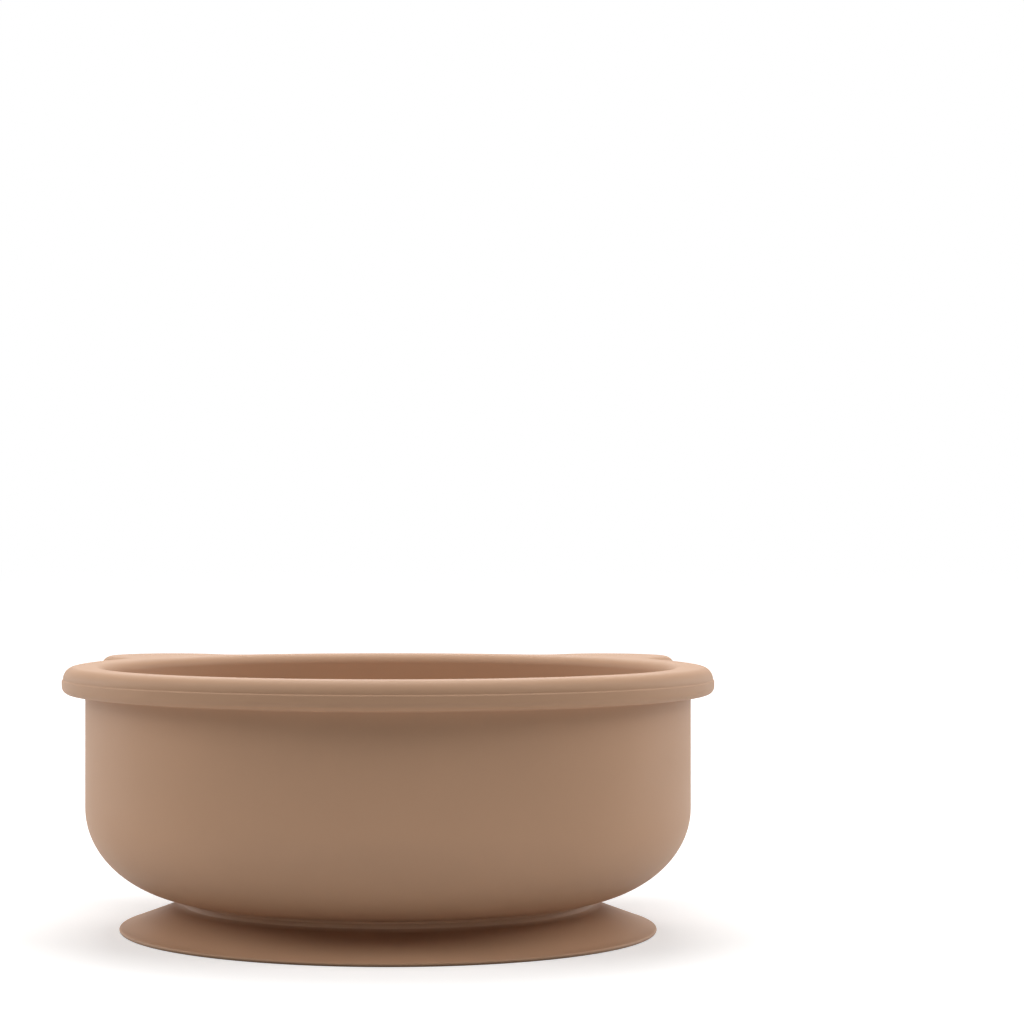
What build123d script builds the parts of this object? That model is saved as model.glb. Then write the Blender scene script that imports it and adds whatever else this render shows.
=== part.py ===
"""Silicone suction bowl for a small child, with a bear's ears and face.

Two mouldings: the bowl, and the suction cup that it is bonded to.
Millimetres. Z = 0 is the table, Z is the bowl's axis, and the ears are on the +Y side.
"""

import os
from math import cos, radians, sin

from build123d import *

os.makedirs("parts", exist_ok=True)

# ---- Bowl: wall, belly and floor
mouth_radius = 56.5  # inside of the upright wall
wall_thickness = 3.85
floor_thickness = 4.3
bowl_height = 46.25  # from the belly's lowest point to the top of the rim
belly_curve_width = 22.95  # outside corner between wall and belly, an ellipse's quarter
belly_curve_height = 18.3
corner_width = 15.0  # soft inside corner between wall and floor, across
mouth_rounding = 2.5  # inner edge of the rim

# ---- Rim: a flat flange with rounded edges, which spreads out into the two ears
rim_overhang = 4.65  # how far it stands out from the wall
rim_thickness = 5.4
rim_upper_rounding = 2.5
rim_lower_rounding = 2.2
under_rim_fillet = 0.6
upper_mould_depth = 2.6  # from the rim's top down to the mould's parting line
parting_step = 0.2  # the rim is this much narrower above the parting line

# ---- Head: not quite round, with fuller cheeks below the ears and a flatter crown between them
cheek_flattening = 15.0  # a cheek's radius is this much more than the round part's
cheek_start = 3.0  # from the X axis, in degrees
crown_flattening = 5.0

# ---- Ears
ear_radius = 15.0
ear_reach = 3.3  # from the rim's edge out to the ear's centre
ear_angle = 46.0  # from the X axis, in degrees
ear_crown_fillet = 5.0  # concave corner on the side towards the crown
ear_cheek_fillet = 5.6  # concave corner on the side towards the cheek

# ---- Face: fine grooves in the floor
groove_width = 0.4
groove_depth = 0.5
eye_radius = 3.2
eye_inset = 3.5  # from the edge of the floor's flat part in to the eye's centre
eye_angle = 30.7  # from the X axis, in degrees
nose_y = -2.2
nose_arm_width = 2.9
nose_arm_length = 10.8
nose_tilt = 45.0  # the two arms cross at twice this angle
nose_corner_fillet = 0.5

# ---- Foot and suction cup
foot_inset = 19.35  # from the bowl's wall in to the round neck under it
foot_height = 0.2  # how far the neck reaches below the belly
cup_height = 6.2  # from the table to the bond face of the two mouldings
cup_flare = 12.6  # how far the disc stands out from the neck
cup_neck_height = 0.9  # upright edge below the bond face
cup_lip_height = 0.8  # the lip's edge is a half round
seal_width = 1.8  # flat ring that seals on the table
dome_height = 3.2  # hollow under the middle of the cup

# ---- Worked out from the sizes above
wall_radius = mouth_radius + wall_thickness
belly_height = cup_height + foot_height
corner_height = belly_height + belly_curve_height
floor_height = belly_height + floor_thickness
floor_flat_radius = mouth_radius - corner_width
belly_flat_radius = wall_radius - belly_curve_width
rim_radius = wall_radius + rim_overhang
rim_top = belly_height + bowl_height
rim_underside = rim_top - rim_thickness
parting_height = rim_top - upper_mould_depth
ear_centre = (rim_radius + ear_reach) * Vector(cos(radians(ear_angle)), sin(radians(ear_angle)))
cheek_radius = rim_radius + cheek_flattening
cheek_direction = Vector(cos(radians(cheek_start)), sin(radians(cheek_start)))
cheek_centre = -cheek_flattening * cheek_direction
crown_radius = rim_radius + crown_flattening
crown_centre = -crown_flattening * Vector(0, 1)
eye_distance = floor_flat_radius - eye_inset
eye_x = eye_distance * cos(radians(eye_angle))
eye_y = eye_distance * sin(radians(eye_angle))
foot_radius = wall_radius - foot_inset
lip_radius = cup_lip_height / 2
lip_centre_radius = foot_radius + cup_flare - lip_radius
seal_radius = lip_centre_radius - seal_width


def rim_plan(grow=0.0):
    """Plan of the rim, grown outwards: the head with its cheeks and crown, and two ears."""

    def meets(vertex, centre, radius):
        reach = (Vector(abs(vertex.X), vertex.Y) - centre).length
        return abs(reach - radius - grow) < 0.01

    def is_corner(vertex):
        on_head = meets(vertex, cheek_centre, cheek_radius) or meets(
            vertex, crown_centre, crown_radius
        )
        return on_head and meets(vertex, ear_centre, ear_radius)

    with BuildSketch() as plan:
        # upper half: each cheek's circle bounds its own side, and the crown's bounds the top
        with Locations(crown_centre):
            Circle(crown_radius + grow)
        for side in (1, -1):
            with Locations((side * cheek_centre.X, cheek_centre.Y)):
                Circle(cheek_radius + grow, mode=Mode.INTERSECT)
        with Locations((0, rim_radius * cheek_direction.Y)):
            Rectangle(
                3 * rim_radius, 3 * rim_radius, align=(Align.CENTER, Align.MIN), mode=Mode.INTERSECT
            )
        # lower half: round
        Circle(rim_radius + grow)
        with Locations(ear_centre, (-ear_centre.X, ear_centre.Y)):
            Circle(ear_radius + grow)
        fillet(plan.vertices().filter_by(is_corner).sort_by(Axis.Y)[2:], ear_crown_fillet - grow)
        fillet(plan.vertices().filter_by(is_corner), ear_cheek_fillet - grow)
    return plan.sketch


def nose_plan(grow):
    """Plan of the nose, grown outwards: two crossed slots, blended where they cross."""
    with BuildSketch() as plan:
        for tilt in (nose_tilt, -nose_tilt):
            SlotOverall(nose_arm_length + 2 * grow, nose_arm_width + 2 * grow, rotation=tilt)
        fillet(plan.vertices().sort_by_distance((0, 0))[:4], nose_corner_fillet - grow)
    return plan.sketch


# ---- Bowl: rim with ears, wall, belly and foot in one moulding
with BuildPart() as bowl_shell:
    # rim and ears: two slabs with rounded edges, which meet at the parting line of the mould
    with BuildSketch(Plane.XY.offset(rim_underside)):
        add(rim_plan())
    extrude(amount=parting_height - rim_underside)
    fillet(bowl_shell.faces().sort_by(Axis.Z)[0].edges(), rim_lower_rounding)
    with BuildSketch(Plane.XY.offset(parting_height)):
        add(rim_plan(grow=-parting_step))
    extrude(amount=rim_top - parting_height)
    fillet(bowl_shell.faces().sort_by(Axis.Z)[-1].edges(), rim_upper_rounding)

    # upright wall and belly, still solid
    with BuildSketch(Plane.XZ):
        with BuildLine():
            belly = EllipticalCenterArc(
                (belly_flat_radius, corner_height),
                wall_radius - belly_flat_radius,
                corner_height - belly_height,
                start_angle=270,
                arc_size=90,
            )
            Polyline(
                belly @ 1,
                (wall_radius, parting_height),
                (0, parting_height),
                (0, belly_height),
                belly @ 0,
            )
        make_face()
    revolve(axis=Axis.Z)
    under_rim = (
        bowl_shell.edges()
        .filter_by(GeomType.CIRCLE)
        .filter_by(lambda e: abs(e.radius - wall_radius) < 0.01)
        .filter_by(lambda e: abs(e.center().Z - rim_underside) < 0.01)
    )
    fillet(under_rim, under_rim_fillet)

    # foot: a short neck that stands on the cup
    with BuildSketch(Plane.XY.offset(cup_height)):
        Circle(foot_radius)
    extrude(amount=floor_height - cup_height)

    # the hollow: flat floor, soft corner, upright wall
    with BuildSketch(Plane.XZ):
        with BuildLine():
            corner = EllipticalCenterArc(
                (floor_flat_radius, corner_height),
                mouth_radius - floor_flat_radius,
                corner_height - floor_height,
                start_angle=270,
                arc_size=90,
            )
            Polyline(
                corner @ 1,
                (mouth_radius, rim_top),
                (0, rim_top),
                (0, floor_height),
                corner @ 0,
            )
        make_face()
    revolve(axis=Axis.Z, mode=Mode.SUBTRACT)
    mouth = (
        bowl_shell.edges()
        .filter_by(GeomType.CIRCLE)
        .filter_by(lambda e: abs(e.radius - mouth_radius) < 0.01)
        .sort_by(Axis.Z)[-1]
    )
    fillet(mouth, mouth_rounding)

    # the face: two ring eyes and the cross-shaped nose, as fine grooves
    with BuildSketch(Plane.XY.offset(floor_height)):
        with Locations((eye_x, eye_y), (-eye_x, eye_y)):
            Circle(eye_radius + groove_width / 2)
            Circle(eye_radius - groove_width / 2, mode=Mode.SUBTRACT)
    extrude(amount=-groove_depth, mode=Mode.SUBTRACT)
    with BuildSketch(Plane.XY.offset(floor_height)):
        with Locations((0, nose_y)):
            add(nose_plan(grow=groove_width / 2))
            add(nose_plan(grow=-groove_width / 2), mode=Mode.SUBTRACT)
    extrude(amount=-groove_depth, mode=Mode.SUBTRACT)

bowl_shell.part.label = "bowl_shell"
export_step(bowl_shell.part, "parts/bowl_shell.step")


# ---- Suction cup: a shallow dome with a rounded lip, bonded under the foot
with BuildPart() as suction_cup:
    with BuildSketch(Plane.XZ):
        with BuildLine():
            dome = TangentArc((0, dome_height), (seal_radius, 0), tangent=(1, 0))
            seal = Line(dome @ 1, (lip_centre_radius, 0))
            lip = ThreePointArc(
                seal @ 1,
                (lip_centre_radius + lip_radius, lip_radius),
                (lip_centre_radius, cup_lip_height),
            )
            Polyline(
                lip @ 1,
                (foot_radius, cup_height - cup_neck_height),
                (foot_radius, cup_height),
                (0, cup_height),
                dome @ 0,
            )
        make_face()
    revolve(axis=Axis.Z)

suction_cup.part.label = "suction_cup"
export_step(suction_cup.part, "parts/suction_cup.step")
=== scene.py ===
"""Looks of a silicone suction bowl with a bear's ears and face.

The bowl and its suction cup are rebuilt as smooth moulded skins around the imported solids, and given
matte silicone. Metres throughout; Z = 0 is the table, Z is the bowl's axis and +Y points to the ears.
"""

from math import atan2, cos, pi, radians, sin

import bmesh
import bpy
import numpy as np
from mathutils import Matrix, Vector
from mathutils.geometry import delaunay_2d_cdt


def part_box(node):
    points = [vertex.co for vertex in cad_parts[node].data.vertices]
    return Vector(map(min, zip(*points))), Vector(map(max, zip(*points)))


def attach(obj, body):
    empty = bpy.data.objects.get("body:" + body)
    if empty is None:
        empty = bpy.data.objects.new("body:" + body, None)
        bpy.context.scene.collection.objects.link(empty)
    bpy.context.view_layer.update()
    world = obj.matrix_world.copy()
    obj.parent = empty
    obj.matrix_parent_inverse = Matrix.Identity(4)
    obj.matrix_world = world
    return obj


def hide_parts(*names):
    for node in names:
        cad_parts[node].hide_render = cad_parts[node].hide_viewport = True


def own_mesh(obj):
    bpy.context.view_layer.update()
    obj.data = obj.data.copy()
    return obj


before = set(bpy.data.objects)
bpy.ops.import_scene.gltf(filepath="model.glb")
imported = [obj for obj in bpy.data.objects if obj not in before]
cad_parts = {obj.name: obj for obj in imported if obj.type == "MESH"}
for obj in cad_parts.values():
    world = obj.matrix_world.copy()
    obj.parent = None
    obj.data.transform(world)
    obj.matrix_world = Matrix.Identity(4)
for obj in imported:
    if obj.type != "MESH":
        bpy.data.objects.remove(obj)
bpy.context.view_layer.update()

MM = 0.001

# ---- Fineness of the surfaces
TURNED_COLUMNS = 480  # steps round the axis of the turned surfaces
EYE_COLUMNS = 96  # and round each eye
RIM_LINE_STEP = 0.75 * MM
NOSE_LINE_STEP = 0.25 * MM
UPRIGHT_STEPS = 6  # up a straight wall
FILLET_STEPS = 6
ROUNDING_STEPS = 12
UPPER_ROUNDING_STEPS = 14
GROOVE_STEPS = 12  # across a groove
FLOOR_CURVE_STEPS = 26
BELLY_STEPS = 34
LIP_STEPS = 24
CUP_SLOPE_STEPS = 8
DOME_STEPS = 39
BORDER = 0.04 * MM  # level strip beside a rounding, which keeps its shading off a level sheet
WELD = 0.0001 * MM  # points nearer to each other than this are one
LINE_WELD = 0.000001 * MM  # the same where a level sheet is cut along its lines

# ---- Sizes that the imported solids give
_, BOWL_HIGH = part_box("bowl_shell")
_, CUP_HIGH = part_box("suction_cup")
RIM_TOP = BOWL_HIGH.z
RIM_RADIUS = BOWL_HIGH.x
BOND_HEIGHT = CUP_HIGH.z  # where bowl and cup are bonded
CUP_RADIUS = CUP_HIGH.x

# ---- Rim
RIM_THICKNESS = 5.4 * MM
RIM_UNDERSIDE = RIM_TOP - RIM_THICKNESS
MOUTH_ROUNDING = 2.0 * MM
LOWER_ROUNDING = 1.6 * MM
PARTING_HEIGHT = RIM_TOP - 2.6 * MM  # the mould's parting line, a fine slanted step
STEP_WIDTH = 0.25 * MM
STEP_HEIGHT = 0.26 * MM
STEP_CORNER_WIDTH, STEP_CORNER_HEIGHT = 0.02 * MM, 0.03 * MM  # the step's corners are eased by this
BAND_START = 0.05 * MM  # the upright band under the step starts this far down

# ---- Wall, belly and floor
MOUTH_RADIUS = 56.5 * MM
WALL_RADIUS = 60.35 * MM
CORNER_HEIGHT = 24.7 * MM  # where the upright wall starts to curve in
BELLY_HEIGHT = 6.4 * MM
BELLY_FLAT_RADIUS = 37.4 * MM
FLOOR_HEIGHT = 10.7 * MM
FLOOR_FLAT_RADIUS = 41.5 * MM
FOOT_RADIUS = 41.0 * MM
FOOT_CORNER = 0.02 * MM  # where the belly runs into the foot
BOND_CORNER = 0.005 * MM  # at the edge of both bond faces
UNDER_RIM_FILLET = 0.6 * MM

# ---- Ears
EAR_RADIUS = 15.0 * MM
EAR_DISTANCE = RIM_RADIUS + 3.3 * MM
EAR_ANGLE = radians(46.0)
CROWN_FILLET = 5.0 * MM
CHEEK_FILLET = 5.6 * MM
CHEEK_RADIUS = RIM_RADIUS + 15.0 * MM  # fuller curve of the head below each ear
CHEEK_START = radians(3.0)
CROWN_RADIUS = RIM_RADIUS + 5.0 * MM  # flatter curve of the head between the ears

# ---- Face
GROOVE_WIDTH = 0.4 * MM
GROOVE_DEPTH = 0.5 * MM
EYE_RADIUS = 3.2 * MM
EYE_X, EYE_Y = 32.67 * MM, 19.40 * MM
NOSE_Y = -2.2 * MM
NOSE_ARM_WIDTH = 2.9 * MM
NOSE_ARM_LENGTH = 10.8 * MM
NOSE_CORNER = 0.5 * MM

# ---- Suction cup
LIP_HEIGHT = 0.8 * MM
SEAL_WIDTH = 1.8 * MM
DOME_HEIGHT = 3.2 * MM
DOME_MIDDLE = 1.0 * MM  # radius of the level middle of the dome
NECK_HEIGHT = 0.9 * MM
NECK_CORNER = 0.05 * MM


# ============================================================ lines in the plane


def arc(centre, radius, start, stop, count):
    """Points on a circle's arc: centre + radius * (cos a, sin a) for count angles a from start to
    stop in radians, last one left out, and the unit vectors (cos a, sin a)."""
    a = np.linspace(start, stop, count, endpoint=False)
    direction = np.stack([np.cos(a), np.sin(a)], 1)
    return np.asarray(centre) + radius * direction, direction


def heading(from_point, to_point):
    """Angle in radians of the line from one point to another."""
    dx, dy = np.asarray(to_point) - np.asarray(from_point)
    return atan2(dy, dx)


def fillet_centre(first, first_radius, second, second_radius, fillet, side):
    """Centre of the circle that touches two circles from outside: it lies fillet beyond each of
    them, so the triangle of the three centres gives its angle from the line first-second. side is
    +1 for the left of that line and -1 for the right."""
    a, b, d = first_radius + fillet, second_radius + fillet, np.hypot(*(second - first))
    turn = np.arccos((a * a + d * d - b * b) / (2 * a * d))
    angle = heading(first, second) + side * turn
    return first + a * np.array([cos(angle), sin(angle)])


def rim_line(step):
    """Outside line of the rim: the round lower half of the head, a fuller cheek, a concave fillet,
    the ear's circle, another fillet and the flatter crown, then the same mirrored in X. Gives the
    points and their outward unit vectors."""
    head = np.zeros(2)
    cheek = (RIM_RADIUS - CHEEK_RADIUS) * np.array([cos(CHEEK_START), sin(CHEEK_START)])
    crown = np.array([0, RIM_RADIUS - CROWN_RADIUS])
    ear = EAR_DISTANCE * np.array([cos(EAR_ANGLE), sin(EAR_ANGLE)])
    low = fillet_centre(cheek, CHEEK_RADIUS, ear, EAR_RADIUS, CHEEK_FILLET, -1)
    high = fillet_centre(crown, CROWN_RADIUS, ear, EAR_RADIUS, CROWN_FILLET, 1)
    runs = [
        (head, RIM_RADIUS, -pi / 2, CHEEK_START),
        (cheek, CHEEK_RADIUS, CHEEK_START, heading(cheek, low)),
        (low, CHEEK_FILLET, heading(low, cheek), heading(low, ear)),
        (ear, EAR_RADIUS, heading(ear, low), heading(ear, high)),
        (high, CROWN_FILLET, heading(high, ear), heading(high, crown)),
        (crown, CROWN_RADIUS, heading(crown, high), pi / 2),
    ]
    points, outward = [], []
    for centre, radius, start, stop in runs:
        concave = radius in (CHEEK_FILLET, CROWN_FILLET)
        # fillets run clockwise and the rest anticlockwise, each the short way round
        turn = (stop - start) % (2 * pi) - (2 * pi if concave else 0)
        p, n = arc(centre, radius, start, start + turn, max(FILLET_STEPS, round(radius * abs(turn) / step)))
        points.append(p)
        outward.append(-n if concave else n)
    points, outward = np.concatenate(points), np.concatenate(outward)
    # the left half: the right half without its lowest point, mirrored and run backwards
    mirror = np.array([-1.0, 1.0])
    return (
        np.concatenate([points, [[0, RIM_RADIUS]], points[:0:-1] * mirror]),
        np.concatenate([outward, [[0, 1]], outward[:0:-1] * mirror]),
    )


def nose_line(step):
    """Outline of the nose, a cross of two round-ended bars: for each of its four arms a half circle
    at the end, a straight side and a concave fillet into the next arm. Gives points and outward
    unit vectors."""
    half = NOSE_ARM_WIDTH / 2
    end = NOSE_ARM_LENGTH / 2 - half
    near = half + NOSE_CORNER  # the fillet's centre lies this far along both arms
    points, outward = [], []
    for quarter in range(4):
        turn = pi / 4 + quarter * pi / 2
        c, s = cos(turn), sin(turn)
        spin = np.array([[c, s], [-s, c]])
        tip, tip_out = arc((end, 0), half, -pi / 2, pi / 2, max(8, round(pi * half / step)))
        run = np.linspace(end, near, max(3, round((end - near) / step)), endpoint=False)
        side = np.stack([run, np.full_like(run, half)], 1)
        side_out = np.tile([0.0, 1.0], (len(run), 1))
        corner, corner_in = arc((near, near), NOSE_CORNER, -pi / 2, -pi, FILLET_STEPS)
        back = np.linspace(near, end, max(3, round((end - near) / step)), endpoint=False)
        other = np.stack([np.full_like(back, half), back], 1)
        other_out = np.tile([1.0, 0.0], (len(back), 1))
        points.append(np.concatenate([tip, side, corner, other]) @ spin)
        outward.append(np.concatenate([tip_out, side_out, -corner_in, other_out]) @ spin)
    return np.concatenate(points) + [0, NOSE_Y], np.concatenate(outward)


def round_profile(*pieces):
    """Joins stretches of a half section, each a list or array of (radius, height)."""
    return np.concatenate([np.asarray(p, float).reshape(-1, 2) for p in pieces])


def bend(centre, radii, start, stop, count):
    """Stretch of a section: an ellipse's arc round centre with the given half widths, for count + 1
    angles in degrees from start to stop."""
    a = np.radians(np.linspace(start, stop, count + 1))
    return np.stack([centre[0] + radii[0] * np.cos(a), centre[1] + radii[1] * np.sin(a)], 1)


def straight(first, last, count):
    """Stretch of a section: count + 1 even points on a line."""
    return np.linspace(first, last, count + 1)


# ============================================================ meshes


def add_to_scene(name, data):
    """New object for a mesh, lamp or camera."""
    thing = bpy.data.objects.new(name, data)
    bpy.context.scene.collection.objects.link(thing)
    return thing


def grid_faces(rows, columns):
    """Quads of a grid that closes round its columns, so that its outside is to the right of a
    section that is followed row by row."""
    i, j = np.meshgrid(np.arange(rows - 1), np.arange(columns), indexing="ij")
    this_row, next_row = i * columns, (i + 1) * columns
    k = (j + 1) % columns
    return np.stack([this_row + j, this_row + k, next_row + k, next_row + j], -1).reshape(-1, 4)


def make_piece(name, parts):
    """One mesh object from several (points, faces) parts that share edges: their common points are
    welded, the faces turned to point outwards and shaded smooth."""
    points, faces, offset = [], [], 0
    for part_points, part_faces in parts:
        points.append(np.asarray(part_points, float))
        faces += [tuple(int(v) + offset for v in face) for face in part_faces]
        offset += len(part_points)
    mesh = bpy.data.meshes.new(name)
    mesh.from_pydata(np.concatenate(points).tolist(), [], faces)
    work = bmesh.new()
    work.from_mesh(mesh)
    bmesh.ops.remove_doubles(work, verts=work.verts, dist=WELD)
    bmesh.ops.dissolve_degenerate(work, edges=work.edges, dist=WELD)
    bmesh.ops.recalc_face_normals(work, faces=work.faces)
    work.to_mesh(mesh)
    work.free()
    mesh.shade_smooth()
    return add_to_scene(name, mesh)


def turned_grid(profile, angles):
    """A section turned about the Z axis: point (r, z) at angle a lies at (r cos a, r sin a, z)."""
    r, z = profile[:, :1], profile[:, 1:]
    x, y = r * np.cos(angles), r * np.sin(angles)
    return np.stack([x, y, np.broadcast_to(z, x.shape)], -1)


def swept_grid(inset_profile, line, outward):
    """A section carried along a closed plane line: point (d, z) lies d outside the line, along its
    outward vector, at height z."""
    d = inset_profile[:, 0][:, None, None]
    flat = line[None] + d * outward[None]
    z = np.broadcast_to(inset_profile[:, 1][:, None, None], flat.shape[:2] + (1,))
    return np.concatenate([flat, z], -1)


def lies_inside(loop, x, y):
    """Which points lie inside a closed line: those whose level ray to the right crosses it an odd
    number of times."""
    a, b = loop, np.roll(loop, -1, axis=0)
    x, y = x[:, None], y[:, None]
    crosses = (a[:, 1] > y) != (b[:, 1] > y)
    with np.errstate(divide="ignore", invalid="ignore"):
        at = a[:, 0] + (y - a[:, 1]) * (b[:, 0] - a[:, 0]) / (b[:, 1] - a[:, 1])
    return (crosses & (x < at)).sum(1) % 2 == 1


def flat_fill(loops, height):
    """Level sheet inside the first closed line and outside the others, cut into triangles along
    the lines."""
    points = np.concatenate(loops)
    edges, start = [], 0
    for loop in loops:
        k = np.arange(len(loop))
        edges += list(zip((start + k).tolist(), (start + (k + 1) % len(loop)).tolist()))
        start += len(loop)
    corners = [Vector(p) for p in points]
    flat, _, triangles, *_ = delaunay_2d_cdt(corners, edges, [], 0, LINE_WELD)
    flat, triangles = np.array([tuple(p) for p in flat]), np.array([list(t) for t in triangles])
    x, y = flat[triangles].mean(1).T
    wanted = lies_inside(loops[0], x, y)
    for hole in loops[1:]:
        wanted &= ~lies_inside(hole, x, y)
    return np.column_stack([flat, np.full(len(flat), height)]), triangles[wanted]


def groove_ribbon(line, outward):
    """Floor along a closed line with a fine rounded groove in it: at distance d from the line the
    floor lies depth * cos^2(pi d / width) lower, which is level again at both edges, and a level
    border follows on each side."""
    half = GROOVE_WIDTH / 2
    d = np.linspace(-half, half, GROOVE_STEPS + 1)
    z = FLOOR_HEIGHT - GROOVE_DEPTH * np.cos(pi * d / GROOVE_WIDTH) ** 2
    section = round_profile(
        [(-half - BORDER, FLOOR_HEIGHT), (-half, FLOOR_HEIGHT)],
        np.column_stack([d, z])[1:-1],
        [(half, FLOOR_HEIGHT), (half + BORDER, FLOOR_HEIGHT)],
    )
    return swept_grid(section, line, outward)


def build_bowl():
    """The bowl's skin: floor with the face, inside wall, rim with ears, outside wall, belly, foot.
    Turned and swept strips are joined by level sheets."""
    around = np.linspace(0, 2 * pi, TURNED_COLUMNS, endpoint=False)

    # inside, from the floor's level part up to the flat top of the rim
    floor_curve = (MOUTH_RADIUS - FLOOR_FLAT_RADIUS, CORNER_HEIGHT - FLOOR_HEIGHT)
    mouth_low = RIM_TOP - MOUTH_ROUNDING
    mouth_out = MOUTH_RADIUS + MOUTH_ROUNDING
    inside = round_profile(
        [(FLOOR_FLAT_RADIUS - BORDER, FLOOR_HEIGHT)],
        bend((FLOOR_FLAT_RADIUS, CORNER_HEIGHT), floor_curve, -90, 0, FLOOR_CURVE_STEPS),
        straight((MOUTH_RADIUS, CORNER_HEIGHT), (MOUTH_RADIUS, mouth_low), UPRIGHT_STEPS)[1:],
        bend((mouth_out, mouth_low), (MOUTH_ROUNDING, MOUTH_ROUNDING), 180, 90, ROUNDING_STEPS)[1:],
        [(mouth_out + BORDER, RIM_TOP)],
    )
    inside_grid = turned_grid(inside, around)

    # edge of the rim: rounding, slanted step at the parting line, upright band, rounding
    step_top = PARTING_HEIGHT + STEP_HEIGHT / 2
    step_low = PARTING_HEIGHT - STEP_HEIGHT / 2
    eased_top, eased_low = step_top - STEP_CORNER_HEIGHT, step_low + STEP_CORNER_HEIGHT
    upper = RIM_TOP - step_top - STEP_CORNER_HEIGHT  # radius of the rounding above the step
    lower = RIM_UNDERSIDE + LOWER_ROUNDING
    edge = round_profile(
        [(-STEP_WIDTH - upper - BORDER, RIM_TOP)],
        bend((-STEP_WIDTH - upper, RIM_TOP - upper), (upper, upper), 90, 0, UPPER_ROUNDING_STEPS),
        [(-STEP_WIDTH, step_top), (-STEP_WIDTH + STEP_CORNER_WIDTH, eased_top)],
        [(-STEP_CORNER_WIDTH, eased_low), (0, step_low)],
        straight((0, step_low - BAND_START), (0, lower), 2),
        bend((-LOWER_ROUNDING, lower), (LOWER_ROUNDING, LOWER_ROUNDING), 0, -90, ROUNDING_STEPS)[1:],
        [(-LOWER_ROUNDING - BORDER, RIM_UNDERSIDE)],
    )
    edge_grid = swept_grid(edge, *rim_line(RIM_LINE_STEP))

    # outside, from under the rim down to the foot and the bond face
    fillet_out = WALL_RADIUS + UNDER_RIM_FILLET
    fillet_low = RIM_UNDERSIDE - UNDER_RIM_FILLET
    belly = (WALL_RADIUS - BELLY_FLAT_RADIUS, CORNER_HEIGHT - BELLY_HEIGHT)
    meet_angle = np.degrees(np.arccos((FOOT_RADIUS - BELLY_FLAT_RADIUS) / belly[0]))
    foot_meets = CORNER_HEIGHT - belly[1] * sin(radians(meet_angle))
    outside = round_profile(
        [(fillet_out + BORDER, RIM_UNDERSIDE)],
        bend((fillet_out, fillet_low), (UNDER_RIM_FILLET, UNDER_RIM_FILLET), 90, 180, FILLET_STEPS),
        straight((WALL_RADIUS, fillet_low), (WALL_RADIUS, CORNER_HEIGHT), UPRIGHT_STEPS)[1:],
        bend((BELLY_FLAT_RADIUS, CORNER_HEIGHT), belly, 0, -meet_angle, BELLY_STEPS)[1:-1],
        [(FOOT_RADIUS + FOOT_CORNER, foot_meets), (FOOT_RADIUS, foot_meets - FOOT_CORNER)],
        [(FOOT_RADIUS, BOND_HEIGHT + BOND_CORNER), (FOOT_RADIUS - BOND_CORNER, BOND_HEIGHT)],
    )
    outside_grid = turned_grid(outside, around)

    # the face's fine grooves
    round_eye = around[:: TURNED_COLUMNS // EYE_COLUMNS]
    ring = np.stack([np.cos(round_eye), np.sin(round_eye)], 1)
    grooves = [
        groove_ribbon(EYE_RADIUS * ring + [EYE_X, EYE_Y], ring),
        groove_ribbon(EYE_RADIUS * ring + [-EYE_X, EYE_Y], ring),
        groove_ribbon(*nose_line(NOSE_LINE_STEP)),
    ]
    grids = [inside_grid, edge_grid, outside_grid, *grooves]
    parts = [(grid.reshape(-1, 3), grid_faces(*grid.shape[:2])) for grid in grids]

    # level sheets: inside each groove, the floor between them, the rim's top and underside, the bond
    inner, outer = [g[0, :, :2] for g in grooves], [g[-1, :, :2] for g in grooves]
    parts += [flat_fill([loop], FLOOR_HEIGHT) for loop in inner]
    parts += [
        flat_fill([inside_grid[0, :, :2], *outer], FLOOR_HEIGHT),
        flat_fill([edge_grid[0, :, :2], inside_grid[-1, :, :2]], RIM_TOP),
        flat_fill([edge_grid[-1, :, :2], outside_grid[0, :, :2]], RIM_UNDERSIDE),
        flat_fill([outside_grid[-1, :, :2]], BOND_HEIGHT),
    ]
    return make_piece("bowl_moulding", parts)


def build_cup():
    """The suction cup's skin, one turned section: hollow dome, flat sealing ring, half-round lip,
    sloping top, neck and bond face. The dome is part of a ball, so at radius r it lies R - sqrt(R^2 -
    r^2) under its middle."""
    lip_radius = LIP_HEIGHT / 2
    lip_centre = CUP_RADIUS - lip_radius
    seal = lip_centre - SEAL_WIDTH
    dome_radius = (seal**2 + DOME_HEIGHT**2) / (2 * DOME_HEIGHT)
    dome_r = np.linspace(DOME_MIDDLE, seal, DOME_STEPS + 1)
    dome_z = DOME_HEIGHT - dome_radius + np.sqrt(dome_radius**2 - dome_r**2)
    shoulder = BOND_HEIGHT - NECK_HEIGHT
    profile = round_profile(
        np.column_stack([dome_r, dome_z]),
        straight((seal, 0), (lip_centre, 0), 2)[1:],
        bend((lip_centre, lip_radius), (lip_radius, lip_radius), -90, 90, LIP_STEPS)[1:],
        straight((lip_centre, LIP_HEIGHT), (FOOT_RADIUS, shoulder), CUP_SLOPE_STEPS)[1:],
        [(FOOT_RADIUS, shoulder + NECK_CORNER), (FOOT_RADIUS, BOND_HEIGHT - BOND_CORNER)],
        [(FOOT_RADIUS - BOND_CORNER, BOND_HEIGHT)],
    )
    grid = turned_grid(profile, np.linspace(0, 2 * pi, TURNED_COLUMNS, endpoint=False))
    return make_piece("suction_cup_moulding", [
        (grid.reshape(-1, 3), grid_faces(*grid.shape[:2])),
        flat_fill([grid[0, :, :2]], dome_z[0]),
        flat_fill([grid[-1, :, :2]], BOND_HEIGHT),
    ])


# ============================================================ silicone

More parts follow.
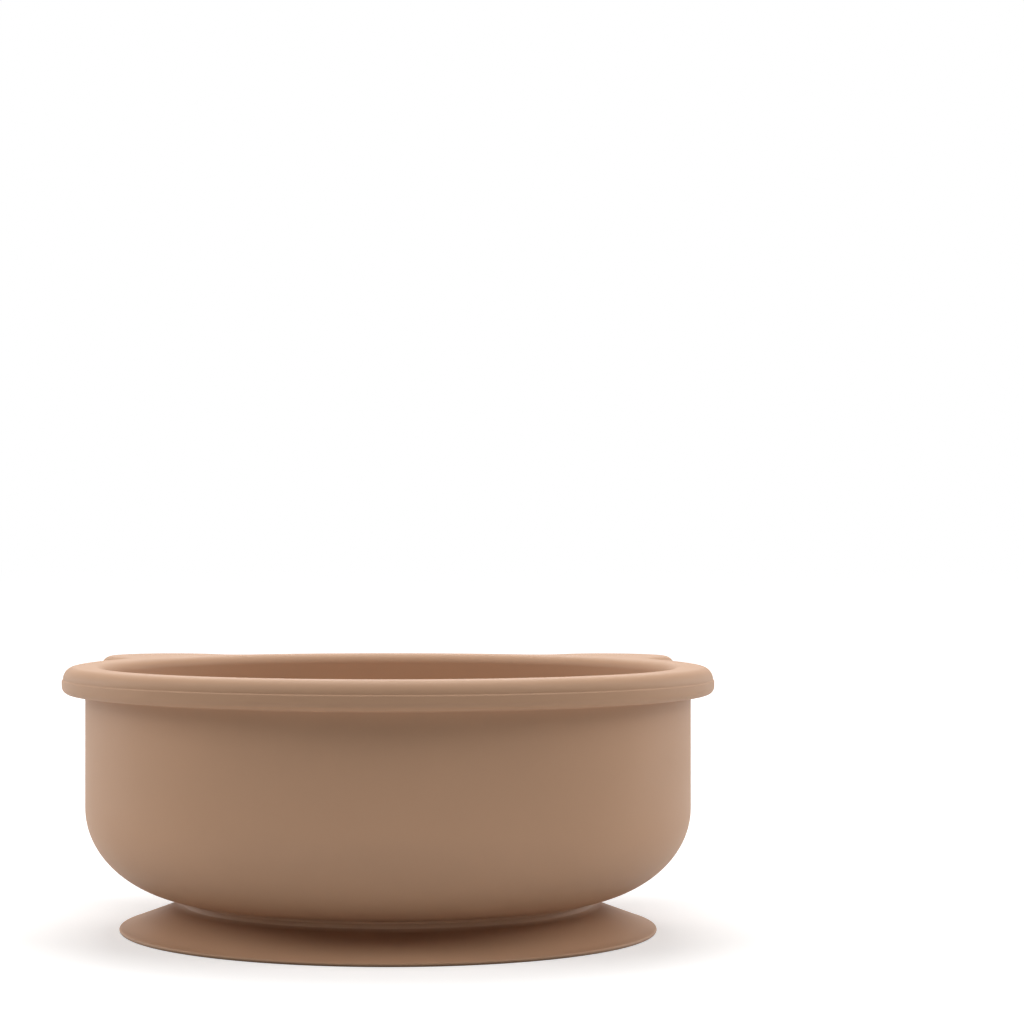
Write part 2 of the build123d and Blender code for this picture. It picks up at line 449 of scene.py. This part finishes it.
SILICONE_COLOUR = (0.53, 0.32, 0.2)
TONE = 0.015  # how far the pigment's tone wanders either way
SATIN = (0.50, 0.60)  # roughness from the smoothest to the dullest places
PIGMENT_SCALE, SATIN_SCALE, GRAIN_SCALE = 38, 90, 5200  # patches and grains in a metre
GRAIN_HEIGHT = 0.03 * MM


def silicone(name):
    """Matte food-grade silicone: pigmented through, with a fine satin grain from the mould."""
    material = bpy.data.materials.new(name)
    material.use_nodes = True
    nodes, links = material.node_tree.nodes, material.node_tree.links
    shader = nodes["Principled BSDF"]
    shader.inputs["IOR"].default_value = 1.41
    shader.inputs["Specular IOR Level"].default_value = 0.35

    place = nodes.new("ShaderNodeTexCoord").outputs["Object"]

    def noise(scale, detail, roughness=0.5):
        node = nodes.new("ShaderNodeTexNoise")
        node.inputs["Scale"].default_value = scale
        node.inputs["Detail"].default_value = detail
        node.inputs["Roughness"].default_value = roughness
        links.new(place, node.inputs["Vector"])
        return node.outputs["Fac"]

    # colour: pigment that is very slightly uneven
    ramp = nodes.new("ShaderNodeValToRGB")
    for end, position, tone in zip(ramp.color_ramp.elements, (0.3, 0.7), (1 - TONE, 1 + TONE)):
        end.position = position
        end.color = (*[part * tone for part in SILICONE_COLOUR], 1)
    links.new(noise(PIGMENT_SCALE, 3), ramp.inputs["Fac"])
    links.new(ramp.outputs["Color"], shader.inputs["Base Color"])

    # finish: satin, a little uneven
    finish = nodes.new("ShaderNodeMapRange")
    finish.inputs["To Min"].default_value, finish.inputs["To Max"].default_value = SATIN
    links.new(noise(SATIN_SCALE, 4), finish.inputs["Value"])
    links.new(finish.outputs["Result"], shader.inputs["Roughness"])

    # grain of the mould
    bump = nodes.new("ShaderNodeBump")
    bump.inputs["Strength"].default_value = 0.12
    bump.inputs["Distance"].default_value = GRAIN_HEIGHT
    links.new(noise(GRAIN_SCALE, 2, 0.6), bump.inputs["Height"])
    links.new(bump.outputs["Normal"], shader.inputs["Normal"])
    return material


bowl = build_bowl()
bowl.data.materials.append(silicone("bowl_silicone"))
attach(bowl, "bowl")
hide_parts("bowl_shell")

cup = build_cup()
cup.data.materials.append(silicone("cup_silicone"))
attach(cup, "cup")
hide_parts("suction_cup")
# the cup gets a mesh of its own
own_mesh(cup)


# ============================================================ stage

FLOOR_HALF = 6.0
FLOOR_SEEN = 0.8  # how pale the floor is
FLOOR_GLOW = 0.4  # white level that stays in the deepest shadow
GLOW_FADE = (0.15, 1.2)  # distances between which the floor's glow grows to white
CARD_NEAR, CARD_FAR = 0.93, 0.35  # of the floor as the object's light comes off it
CARD_FADE = (0.11, 0.19)
CARD_PAINTED_SHADE = 0.22  # painted shade: share of that close round the suction cup, where the bowl's shade falls
# distances over which the painted shade round the cup fades out
PAINTED_SHADE_FADE = (0.055, 0.07)

LAMP_DISTANCE = 1.1
AIM = Vector((0, 0, 0.03))  # about the middle of the bowl
LAMPS = (  # name, degrees round from the front, degrees above the table, side, watts
    ("front", 0, 60, 0.6, 0.9),
    ("front_left", -60, 45, 0.6, 3.4),
    ("front_right", 60, 45, 0.6, 3.4),
    ("left", -90, 30, 0.6, 1.4),
    ("right", 90, 30, 0.6, 1.4),
    ("overhead_back", 180, 75, 0.6, 5.8),
    ("back", 180, 40, 0.6, 2.0),
    ("left_back", -120, 12, 0.4, 2.0),
    ("right_back", 120, 12, 0.4, 2.0),
)

CAMERA_DISTANCE = 0.5844
CAMERA_HEIGHT = 0.078


def combine(nodes, links, operation, first, second):
    """Output of a math node on two sockets."""
    node = nodes.new("ShaderNodeMath")
    node.operation = operation
    links.new(first, node.inputs[0])
    links.new(second, node.inputs[1])
    return node.outputs[0]


def seen_directly(nodes, links):
    """1 for rays that see a surface as it is, straight from the camera, mirrored in a glossy surface
    or through a clear one, and 0 for rays that gather its light."""
    path = nodes.new("ShaderNodeLightPath").outputs
    mirrored = combine(nodes, links, "MAXIMUM", path["Is Camera Ray"], path["Is Glossy Ray"])
    return combine(nodes, links, "MAXIMUM", mirrored, path["Is Transmission Ray"])


def floor_material():
    """Pale studio floor: seen by the camera it is white with the object's soft shadow on it, and
    towards the object it is a plain pale card that fades outwards; close round the cup the card is
    darkened inwards under the bowl, painted shade that keeps bounced light off the crease. Far
    from the object, where the lamps don't reach, its own glow makes it white."""
    material = bpy.data.materials.new("studio_floor")
    material.use_nodes = True
    nodes, links = material.node_tree.nodes, material.node_tree.links
    nodes.remove(nodes["Principled BSDF"])
    distance = nodes.new("ShaderNodeVectorMath")
    distance.operation = "LENGTH"
    links.new(nodes.new("ShaderNodeTexCoord").outputs["Object"], distance.inputs[0])

    def fade(distances, near, far):
        node = nodes.new("ShaderNodeMapRange")
        node.interpolation_type = "SMOOTHSTEP"
        for socket, value in zip(("From Min", "From Max", "To Min", "To Max"), (*distances, near, far)):
            node.inputs[socket].default_value = value
        links.new(distance.outputs["Value"], node.inputs["Value"])
        return node.outputs["Result"]

    glow = nodes.new("ShaderNodeEmission")
    links.new(fade(GLOW_FADE, FLOOR_GLOW, 1.0), glow.inputs["Strength"])
    pale = nodes.new("ShaderNodeBsdfDiffuse")
    pale.inputs["Color"].default_value = (FLOOR_SEEN, FLOOR_SEEN, FLOOR_SEEN, 1)
    seen = nodes.new("ShaderNodeAddShader")
    links.new(pale.outputs[0], seen.inputs[0])
    links.new(glow.outputs[0], seen.inputs[1])

    card = nodes.new("ShaderNodeBsdfDiffuse")
    # painted shade: the card is darker close round the cup, under the bowl
    painted_shade, outwards = fade(PAINTED_SHADE_FADE, CARD_PAINTED_SHADE, 1.0), fade(CARD_FADE, CARD_NEAR, CARD_FAR)
    links.new(combine(nodes, links, "MULTIPLY", painted_shade, outwards), card.inputs["Color"])

    mix = nodes.new("ShaderNodeMixShader")
    links.new(seen_directly(nodes, links), mix.inputs["Fac"])
    links.new(card.outputs[0], mix.inputs[1])
    links.new(seen.outputs[0], mix.inputs[2])
    links.new(mix.outputs[0], nodes["Material Output"].inputs["Surface"])
    return material


def build_floor():
    """Square plain floor, wide enough for every view."""
    corners = [(x * FLOOR_HALF, y * FLOOR_HALF, 0) for x, y in ((-1, -1), (1, -1), (1, 1), (-1, 1))]
    mesh = bpy.data.meshes.new("studio_floor")
    mesh.from_pydata(corners, [], [(0, 1, 2, 3)])
    mesh.materials.append(floor_material())
    floor = add_to_scene("studio_floor", mesh)


def build_world():
    """White surroundings. They show behind the object and in its sheen, and give it no other light."""
    world = bpy.data.worlds.new("studio")
    bpy.context.scene.world = world
    world.use_nodes = True
    nodes, links = world.node_tree.nodes, world.node_tree.links
    background = nodes["Background"]
    background.inputs["Color"].default_value = (1, 1, 1, 1)
    links.new(seen_directly(nodes, links), background.inputs["Strength"])


def softbox(name, turn, rise, side, power):
    """Square area lamp that looks at the bowl from turn degrees round from the front and rise degrees
    above the table."""
    a, e = radians(turn), radians(rise)
    from_aim = LAMP_DISTANCE * Vector((sin(a) * cos(e), -cos(a) * cos(e), sin(e)))
    lamp = bpy.data.lights.new(name, "AREA")
    lamp.size = side
    lamp.energy = power
    holder = add_to_scene(name, lamp)
    holder.location = AIM + from_aim
    holder.rotation_euler = (-from_aim).to_track_quat("-Z", "Y").to_euler()


def build_camera():
    """Long lens that looks level along +Y, shifted so that the bowl stands low and to the left."""
    camera = bpy.data.cameras.new("camera")
    camera.lens = 102.56
    camera.sensor_width = 36.0
    camera.shift_x, camera.shift_y = 0.1211, 0.0261
    camera.clip_start = 0.01
    holder = add_to_scene("camera", camera)
    holder.location = (0, -CAMERA_DISTANCE, CAMERA_HEIGHT)
    holder.rotation_euler = (pi / 2, 0, 0)
    bpy.context.scene.camera = holder


build_floor()
build_world()
for lamp_row in LAMPS:
    softbox(*lamp_row)
build_camera()
bpy.context.scene.view_settings.view_transform = "Standard"
